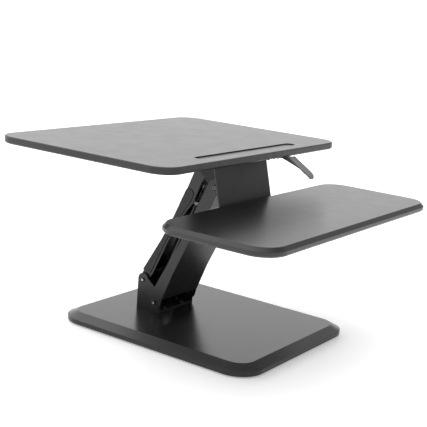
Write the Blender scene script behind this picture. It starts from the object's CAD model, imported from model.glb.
"""Height-adjustable desktop riser: a base plate, swinging links and a gas cylinder
carry a top platform and a keyboard tray.

Metres, +Z up. The base stands on the floor near z = 0 and the pivot bolts run along X.
The camera looks towards +X and +Y from above.
"""
import bpy
import bmesh
import math
from mathutils import Vector, Matrix


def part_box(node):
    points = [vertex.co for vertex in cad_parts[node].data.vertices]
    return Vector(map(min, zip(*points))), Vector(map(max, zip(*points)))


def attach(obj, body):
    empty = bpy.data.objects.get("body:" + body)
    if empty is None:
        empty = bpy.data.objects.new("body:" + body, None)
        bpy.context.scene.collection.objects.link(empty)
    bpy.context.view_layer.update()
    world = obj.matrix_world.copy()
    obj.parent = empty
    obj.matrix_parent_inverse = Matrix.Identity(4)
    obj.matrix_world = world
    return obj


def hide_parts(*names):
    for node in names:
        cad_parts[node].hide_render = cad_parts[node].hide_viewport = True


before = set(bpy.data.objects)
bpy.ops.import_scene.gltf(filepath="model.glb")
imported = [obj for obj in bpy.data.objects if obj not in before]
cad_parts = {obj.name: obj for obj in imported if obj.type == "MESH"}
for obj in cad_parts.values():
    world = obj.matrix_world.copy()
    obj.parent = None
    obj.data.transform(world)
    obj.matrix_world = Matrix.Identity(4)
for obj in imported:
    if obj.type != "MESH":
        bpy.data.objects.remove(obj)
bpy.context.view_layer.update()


# ------------------------------------------------------------------ node helpers
class Nodes:
    """Short calls for building a node tree."""

    def __init__(self, tree):
        self.tree = tree
        tree.nodes.clear()

    def put(self, socket, value):
        """Link a socket or set its value; colours are given without their alpha."""
        if isinstance(value, bpy.types.NodeSocket):
            self.tree.links.new(value, socket)
        else:
            socket.default_value = (*value, 1.0) if socket.type == "RGBA" else value

    def node(self, kind, inputs=None, **settings):
        node = self.tree.nodes.new(kind)
        for key, value in settings.items():
            setattr(node, key, value)
        for key, value in (inputs or {}).items():
            self.put(node.inputs[key], value)
        return node

    def math(self, operation, a, b):
        return self.node("ShaderNodeMath", {0: a, 1: b}, operation=operation).outputs[0]

    def vector_math(self, operation, a, b=(0.0, 0.0, 0.0)):
        node = self.node("ShaderNodeVectorMath", {0: a, 1: b}, operation=operation)
        return node.outputs["Value" if operation in ("DOT_PRODUCT", "LENGTH") else "Vector"]

    def remap(self, value, to=(0.0, 1.0), source=(0.3, 0.7), **settings):
        """Carry the source range onto `to`; the default source suits a noise."""
        return self.node("ShaderNodeMapRange", {
            "Value": value,
            "From Min": source[0], "From Max": source[1],
            "To Min": to[0], "To Max": to[1],
        }, **settings).outputs[0]


class Surface(Nodes):
    """A material with one Principled shader, patterned in object space."""

    def __init__(self, name):
        self.material = bpy.data.materials.new(name)
        self.material.use_nodes = True
        super().__init__(self.material.node_tree)
        self.shader = self.node("ShaderNodeBsdfPrincipled")
        self.node("ShaderNodeOutputMaterial", {0: self.shader.outputs[0]})
        self.coords = self.node("ShaderNodeTexCoord").outputs

    def set(self, name, value):
        self.put(self.shader.inputs[name], value)

    def noise(self, scale, detail=3.0, rough=0.55, stretch=None):
        place = self.coords["Object"]
        if stretch:
            place = self.node("ShaderNodeMapping", {0: place, "Scale": stretch}).outputs[0]
        return self.node("ShaderNodeTexNoise", {
            "Scale": scale, "Detail": detail, "Roughness": rough, "Vector": place,
        }).outputs[0]

    def mix(self, factor, a, b):
        # Sockets 6, 7 and output 2 are the colour ones of the Mix node
        return self.node("ShaderNodeMix", {0: factor, 6: a, 7: b}, data_type="RGBA").outputs[2]

    def edge(self, radius):
        """A mask that is 1 on edges and 0 on flats, and the rounded normal."""
        rounded = self.node("ShaderNodeBevel", {"Radius": radius}, samples=4).outputs[0]
        normal = self.node("ShaderNodeNewGeometry").outputs["Normal"]
        agreement = self.vector_math("DOT_PRODUCT", rounded, normal)
        return self.remap(agreement, source=(0.98, 0.80)), rounded

    def finish(self, colour, roughness, height, bump, depth, normal):
        """Connect the shader; bump is the strength of the relief, depth its distance."""
        relief = self.node("ShaderNodeBump", {
            "Strength": bump, "Distance": depth, "Height": height, "Normal": normal,
        })
        self.set("Base Color", colour)
        self.set("Roughness", roughness)
        self.set("Normal", relief.outputs[0])
        return self.material


def paler(colour, gain, lift):
    return tuple(channel * gain + lift for channel in colour)


# ------------------------------------------------------------------ material families
# base and light are the two colours of a cloudy mix, rough the range of roughness,
# grain the scale of the fine texture and bump the strength of its relief.
def coated(name, base, light, rough, grain=1500.0, bump=0.10, wear=0.30, ior=1.5, slope=None):
    """Powder coat or paint: orange-peel grain, cloudy roughness, pale rubbed edges.

    slope is an optional paler colour for the sloping faces that look upwards.
    """
    s = Surface(name)
    cloud = s.noise(scale=7.0, detail=4.0, rough=0.6)
    fine = s.noise(scale=grain, detail=2.0, rough=0.5)
    peel = s.noise(scale=grain * 0.22, detail=2.0, rough=0.5)
    edge, normal = s.edge(radius=0.0010)
    patches = s.remap(s.noise(scale=90.0), source=(0.40, 0.66), to=(0.0, wear))
    rub = s.math("MULTIPLY", edge, patches)
    colour = s.mix(s.remap(cloud, source=(0.35, 0.65)), base, light)
    if slope:
        up = s.node("ShaderNodeSeparateXYZ", {0: s.coords["Normal"]}).outputs["Z"]
        off_upright = s.remap(up, source=(0.20, 0.30))
        off_level = s.remap(up, source=(0.90, 0.97), to=(1.0, 0.0))
        tilt = s.math("MULTIPLY", off_upright, off_level)
        colour = s.mix(s.math("MULTIPLY", tilt, s.remap(cloud, to=(0.85, 1.0))), colour, slope)
    s.set("IOR", ior)
    return s.finish(
        colour=s.mix(rub, colour, paler(light, gain=3.2, lift=0.03)),
        roughness=s.math("ADD", s.remap(s.noise(scale=60.0, detail=4.0), to=rough),
                         s.remap(fine, to=(-0.015, 0.015))),
        height=s.math("ADD", s.math("MULTIPLY", fine, 0.6), peel),
        bump=bump, depth=0.0002, normal=normal)


def laminate(name, base, light, rough, ior):
    """Melamine-faced board: soft pebbles, faint streaks along X, handling marks."""
    s = Surface(name)
    cloud = s.noise(scale=4.0, detail=5.0, rough=0.6)
    pebble = s.node("ShaderNodeTexVoronoi", {"Scale": 1400.0, "Vector": s.coords["Object"]})
    streak = s.noise(scale=60.0, detail=4.0, rough=0.6, stretch=(1.0, 9.0, 1.0))
    smear = s.noise(scale=26.0, detail=6.0, rough=0.6)
    edge, normal = s.edge(radius=0.0008)
    patches = s.remap(s.noise(scale=120.0), source=(0.45, 0.7), to=(0.0, 0.3))
    rub = s.math("MULTIPLY", edge, patches)
    s.set("IOR", ior)
    return s.finish(
        colour=s.mix(rub, s.mix(s.remap(cloud), base, light), paler(light, gain=2.5, lift=0.02)),
        roughness=s.math("ADD", s.remap(smear, to=rough), s.remap(streak, to=(-0.008, 0.008))),
        height=s.math("ADD", s.math("MULTIPLY", pebble.outputs["Distance"], 0.7),
                      s.math("MULTIPLY", streak, 0.5)),
        bump=0.05, depth=0.0002, normal=normal)


def metal(name, base, light, rough=(0.22, 0.38), stretch=(1.0, 1.0, 1.0), grain=900.0, bump=0.05):
    """Plated or drawn metal; stretch multiplies the grain's frequency on each axis."""
    s = Surface(name)
    cloud = s.noise(scale=60.0, detail=4.0, rough=0.6)
    line = s.noise(scale=grain, rough=0.6, stretch=stretch)
    edge, normal = s.edge(radius=0.0004)
    rubbed = tuple(min(1.0, channel) for channel in paler(light, gain=1.5, lift=0.05))
    s.set("Metallic", 1.0)
    return s.finish(
        colour=s.mix(s.math("MULTIPLY", edge, 0.5), s.mix(s.remap(cloud), base, light), rubbed),
        roughness=s.remap(line, to=rough),
        height=line, bump=bump, depth=0.0001, normal=normal)


def soft(name, base, light, rough=(0.55, 0.75), grain=700.0, bump=0.15):
    """Rubber and moulded plastic."""
    s = Surface(name)
    cloud = s.noise(scale=30.0, detail=4.0, rough=0.6)
    fine = s.noise(scale=grain, detail=4.0, rough=0.65)
    edge, normal = s.edge(radius=0.0006)
    rubbed = paler(light, gain=2.0, lift=0.015)
    return s.finish(
        colour=s.mix(s.math("MULTIPLY", edge, 0.25), s.mix(s.remap(cloud), base, light), rubbed),
        roughness=s.remap(fine, to=rough),
        height=fine, bump=bump, depth=0.0003, normal=normal)


def bolt_head(part):
    """Dark metal round a bright middle, centred on the X axis through the part's box."""
    low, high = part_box(part)
    s = Surface("bolt_" + part)
    offset = s.vector_math("SUBTRACT", s.coords["Object"], (low + high) / 2)
    across = s.vector_math("MULTIPLY", offset, (0.0, 1.0, 1.0))
    # The bright middle fades out between these two radii
    middle = s.remap(s.vector_math("LENGTH", across), source=(0.0022, 0.0034), to=(1.0, 0.0))
    turning = s.noise(scale=900.0)
    _, normal = s.edge(radius=0.0004)
    cloud = s.remap(s.noise(scale=300.0))
    dark = s.mix(cloud, (0.012, 0.012, 0.013), (0.030, 0.030, 0.032))
    pale = s.mix(turning, (0.50, 0.50, 0.52), (0.74, 0.74, 0.76))
    s.set("Metallic", 1.0)
    return s.finish(
        colour=s.mix(middle, dark, pale),
        roughness=s.remap(turning, to=(0.24, 0.40)),
        height=turning, bump=0.06, depth=0.0001, normal=normal)


# ------------------------------------------------------------------ finishes of the parts
bright_steel = metal("bright_steel", base=(0.60, 0.60, 0.62), light=(0.72, 0.72, 0.74),
                     rough=(0.15, 0.28))

# Material, then the parts that wear it
FINISHES = [
    (laminate("board_laminate", base=(0.012, 0.012, 0.013), light=(0.018, 0.018, 0.020),
              rough=(0.30, 0.34), ior=1.6),
     "top_platform"),
    (laminate("tray_laminate", base=(0.009, 0.009, 0.010), light=(0.014, 0.014, 0.015),
              rough=(0.28, 0.32), ior=1.55),
     "keyboard_tray"),
    (coated("edge_band", base=(0.014, 0.014, 0.015), light=(0.022, 0.022, 0.024),
            rough=(0.30, 0.42), grain=1200.0, bump=0.08, wear=0.2),
     "platform_edge_trim"),
    (coated("base_powder", base=(0.010, 0.010, 0.011), light=(0.015, 0.015, 0.016),
            rough=(0.225, 0.255), bump=0.022, wear=0.12, ior=1.45, slope=(0.062, 0.062, 0.064)),
     "base_plate"),
    (coated("arm_powder", base=(0.008, 0.008, 0.009), light=(0.013, 0.013, 0.014),
            rough=(0.27, 0.33), bump=0.08),
     "base_bracket front_link rear_link gas_clevis gas_hanger lever_bracket"),
    (coated("cover_paint", base=(0.006, 0.006, 0.007), light=(0.011, 0.011, 0.012),
            rough=(0.32, 0.39), bump=0.08, ior=1.44),
     "rear_link_cover"),
    (coated("hanger_powder", base=(0.036, 0.036, 0.038), light=(0.050, 0.050, 0.053),
            rough=(0.32, 0.44), wear=0.35),
     "tray_hanger"),
    (coated("lever_paint", base=(0.115, 0.115, 0.118), light=(0.150, 0.150, 0.154),
            rough=(0.32, 0.42), wear=0.25),
     "release_lever"),
    (metal("zinc", base=(0.42, 0.43, 0.45), light=(0.58, 0.59, 0.61)),
     "lower_pivot_nuts upper_pivot_nuts gas_lower_eye valve_trigger "
     "upper_bracket_screws hanger_screws tray_screws lever_bracket_screws"),
    (metal("black_zinc", base=(0.10, 0.10, 0.105), light=(0.17, 0.17, 0.18),
           rough=(0.25, 0.42)),
     "base_bracket_screws upper_front_pivot_bolts"),
    (metal("black_oxide_bolt", base=(0.30, 0.30, 0.31), light=(0.42, 0.42, 0.44),
           rough=(0.14, 0.24)),
     "upper_rear_pivot_bolts"),
    (metal("nitrided_rod", base=(0.035, 0.035, 0.037), light=(0.060, 0.060, 0.063),
           rough=(0.14, 0.22), stretch=(1.0, 1.0, 6.0), grain=500.0, bump=0.02),
     "gas_rod"),
    (coated("upper_bracket_powder", base=(0.004, 0.004, 0.005), light=(0.008, 0.008, 0.009),
            rough=(0.36, 0.44), ior=1.40),
     "upper_bracket"),
    (metal("black_screw", base=(0.030, 0.030, 0.032), light=(0.055, 0.055, 0.058),
           rough=(0.35, 0.5)),
     "rear_cover_screws"),
    (bright_steel,
     "gas_lower_pin gas_upper_pin trigger_pin lever_pivot_pin lever_return_spring"),
    (metal("cast_head", base=(0.22, 0.22, 0.23), light=(0.32, 0.32, 0.34),
           rough=(0.38, 0.55), grain=500.0, bump=0.25),
     "release_head"),
    (coated("gas_tube_enamel", base=(0.010, 0.010, 0.010), light=(0.016, 0.016, 0.017),
            rough=(0.14, 0.22), grain=900.0, bump=0.04, wear=0.2),
     "gas_cylinder"),
    (soft("rubber", base=(0.012, 0.012, 0.012), light=(0.022, 0.022, 0.022)),
     "rubber_feet cable_grommets"),
    (soft("nylon", base=(0.014, 0.014, 0.015), light=(0.026, 0.026, 0.028),
          rough=(0.35, 0.5), grain=500.0, bump=0.08),
     "lower_pivot_washers upper_pivot_washers cable_clips"),
    (soft("white_nylon", base=(0.82, 0.82, 0.81), light=(0.90, 0.90, 0.89),
          rough=(0.25, 0.35), grain=500.0, bump=0.05),
     "gas_seal_cap"),
    (soft("cable_sheath", base=(0.012, 0.012, 0.013), light=(0.024, 0.024, 0.026),
          rough=(0.3, 0.45), grain=900.0, bump=0.1),
     "release_cable"),
    (bolt_head("lower_front_pivot_bolts"), "lower_front_pivot_bolts"),
    (bolt_head("lower_rear_pivot_bolts"), "lower_rear_pivot_bolts"),
]
material_of = {part: material for material, parts in FINISHES for part in parts.split()}

for part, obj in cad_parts.items():
    if not obj.material_slots:
        obj.data.materials.append(material_of[part])
    for slot in obj.material_slots:
        slot.material = material_of[part]


# ------------------------------------------------------------------ scene helpers
def add_object(name, data):
    obj = bpy.data.objects.new(name, data)
    bpy.context.scene.collection.objects.link(obj)
    return obj


def mesh_object(name, bm, material):
    mesh = bpy.data.meshes.new(name)
    bm.to_mesh(mesh)
    bm.free()
    mesh.materials.append(material)
    return add_object(name, mesh)


# ------------------------------------------------------------------ lever return spring
WIRE_RADIUS = 0.00072
WIRE_SIDES = 12
TURNS = 6
STEPS_PER_TURN = 36
LEG_LENGTH = 0.0035


def spring_path(low, high):
    """Helix along X filling the box, with a straight leg towards -Y at each end."""
    centre = (low + high) / 2
    radius = (high.z - low.z) / 2 - WIRE_RADIUS
    start, end = low.x + WIRE_RADIUS, high.x - WIRE_RADIUS
    leg_y, leg_z = centre.y - LEG_LENGTH, centre.z - radius
    steps = STEPS_PER_TURN * TURNS
    path = [Vector((start, leg_y, leg_z))]
    for i in range(steps + 1):
        angle = 2 * math.pi * i / STEPS_PER_TURN
        path.append(Vector((start + (end - start) * i / steps,
                            centre.y + radius * math.sin(angle),
                            centre.z - radius * math.cos(angle))))
    path.append(Vector((end, leg_y, leg_z)))
    return path


def return_spring():
    path = spring_path(*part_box("lever_return_spring"))
    bm = bmesh.new()
    rings = []
    for i, point in enumerate(path):
        along = (path[min(i + 1, len(path) - 1)] - path[max(i - 1, 0)]).normalized()
        side = Vector((1, 0, 0)) - along * along.x
        side.normalize()
        other = along.cross(side)
        ring = []
        for k in range(WIRE_SIDES):
            angle = 2 * math.pi * k / WIRE_SIDES
            spoke = math.cos(angle) * side + math.sin(angle) * other
            ring.append(bm.verts.new(point + WIRE_RADIUS * spoke))
        rings.append(ring)
    for ring, following in zip(rings, rings[1:]):
        for k in range(WIRE_SIDES):
            n = (k + 1) % WIRE_SIDES
            bm.faces.new((ring[k], ring[n], following[n], following[k])).smooth = True
    bm.faces.new(reversed(rings[0]))
    bm.faces.new(rings[-1])
    bmesh.ops.recalc_face_normals(bm, faces=bm.faces)
    return mesh_object("return_spring_coil", bm, bright_steel)


spring = return_spring()
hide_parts("lever_return_spring")
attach(spring, "top")

# ------------------------------------------------------------------ camera
CAMERA_PLACE = (-1.7116, -1.1747, 0.7246)
# Degrees: yaw from +Y towards +X, pitch downwards, roll about the view
CAMERA_ANGLES = (55.5456, 12.6303, 4.4643)
LENS_MM = 82.029415
SENSOR_MM = 36.0


def camera():
    yaw, pitch, roll = (math.radians(angle) for angle in CAMERA_ANGLES)
    forward = Vector((math.sin(yaw) * math.cos(pitch),
                      math.cos(yaw) * math.cos(pitch),
                      -math.sin(pitch)))
    level = Vector((math.cos(yaw), -math.sin(yaw), 0.0))
    upright = level.cross(forward)
    right = level * math.cos(roll) + upright * math.sin(roll)
    up = -level * math.sin(roll) + upright * math.cos(roll)
    cam = add_object("camera", bpy.data.cameras.new("camera"))
    cam.data.sensor_width = SENSOR_MM
    cam.data.lens = LENS_MM
    cam.data.clip_start = 0.05
    cam.data.clip_end = 60.0
    matrix = Matrix((right, up, -forward)).transposed().to_4x4()
    matrix.translation = Vector(CAMERA_PLACE)
    cam.matrix_world = matrix
    bpy.context.scene.camera = cam


camera()

# ------------------------------------------------------------------ world and light
WHITE = (1.0, 1.0, 1.0)
BACKDROP = 1.05  # strength of the plain white the camera sees
AMBIENT = 0.42  # strength of the room's light outside the panels
# Soft panels: direction, cosines to it where the glow starts and is full, strength
PANELS = [
    ((0.80, 0.57, 0.16), (0.80, 0.99), 1.05),   # low, beyond the riser
    ((-0.25, 0.50, 0.83), (0.25, 1.00), 1.35),  # broad and high, on the camera's left
    ((0.80, -0.02, 0.60), (0.86, 0.99), 0.25),  # faint, beyond the riser on the right
]


def studio():
    """White room whose panels light the riser but stay hidden from the camera."""
    world = bpy.data.worlds.new("studio")
    bpy.context.scene.world = world
    world.use_nodes = True
    w = Nodes(world.node_tree)
    view = w.node("ShaderNodeTexCoord").outputs["Generated"]
    glows = []
    for direction, cosines, strength in PANELS:
        facing = w.vector_math("DOT_PRODUCT", view, Vector(direction).normalized())
        glows.append(w.remap(facing, source=cosines, to=(0.0, strength),
                             interpolation_type="SMOOTHSTEP"))
    total = glows[0]
    for glow in glows[1:] + [AMBIENT]:
        total = w.math("ADD", total, glow)
    room = w.node("ShaderNodeBackground", {"Color": WHITE, "Strength": total})
    seen = w.node("ShaderNodeBackground", {"Color": WHITE, "Strength": BACKDROP})
    camera_ray = w.node("ShaderNodeLightPath").outputs["Is Camera Ray"]
    mix = w.node("ShaderNodeMixShader",
                 {0: camera_ray, 1: room.outputs[0], 2: seen.outputs[0]})
    w.node("ShaderNodeOutputWorld", {0: mix.outputs[0]})


def overhead_light():
    place, target = Vector((0.2, 0.1, 2.6)), Vector((0, 0, 0.2))
    light = bpy.data.lights.new("overhead", "AREA")
    light.shape = "RECTANGLE"
    light.size = 2.4
    light.size_y = 2.0
    light.energy = 12.0
    lamp = add_object("overhead", light)
    lamp.location = place
    lamp.rotation_euler = (target - place).to_track_quat("-Z", "Y").to_euler()


studio()
overhead_light()


# ------------------------------------------------------------------ floor
def floor_paint():
    """Near-white paint that glows a little."""
    s = Surface("floor_paint")
    cloud = s.remap(s.noise(scale=1.5))
    s.set("Base Color", s.mix(cloud, (0.93, 0.93, 0.93), (0.95, 0.95, 0.95)))
    s.set("Roughness", s.remap(s.noise(scale=5.0), to=(0.50, 0.60)))
    s.set("Emission Color", WHITE)
    s.set("Emission Strength", 0.34)
    return s.material


bm = bmesh.new()
bmesh.ops.create_grid(bm, x_segments=1, y_segments=1, size=45.0)
floor = mesh_object("floor", bm, floor_paint())
floor.location.z = -0.0002  # just under the feet

bpy.context.scene.view_settings.view_transform = "Standard"
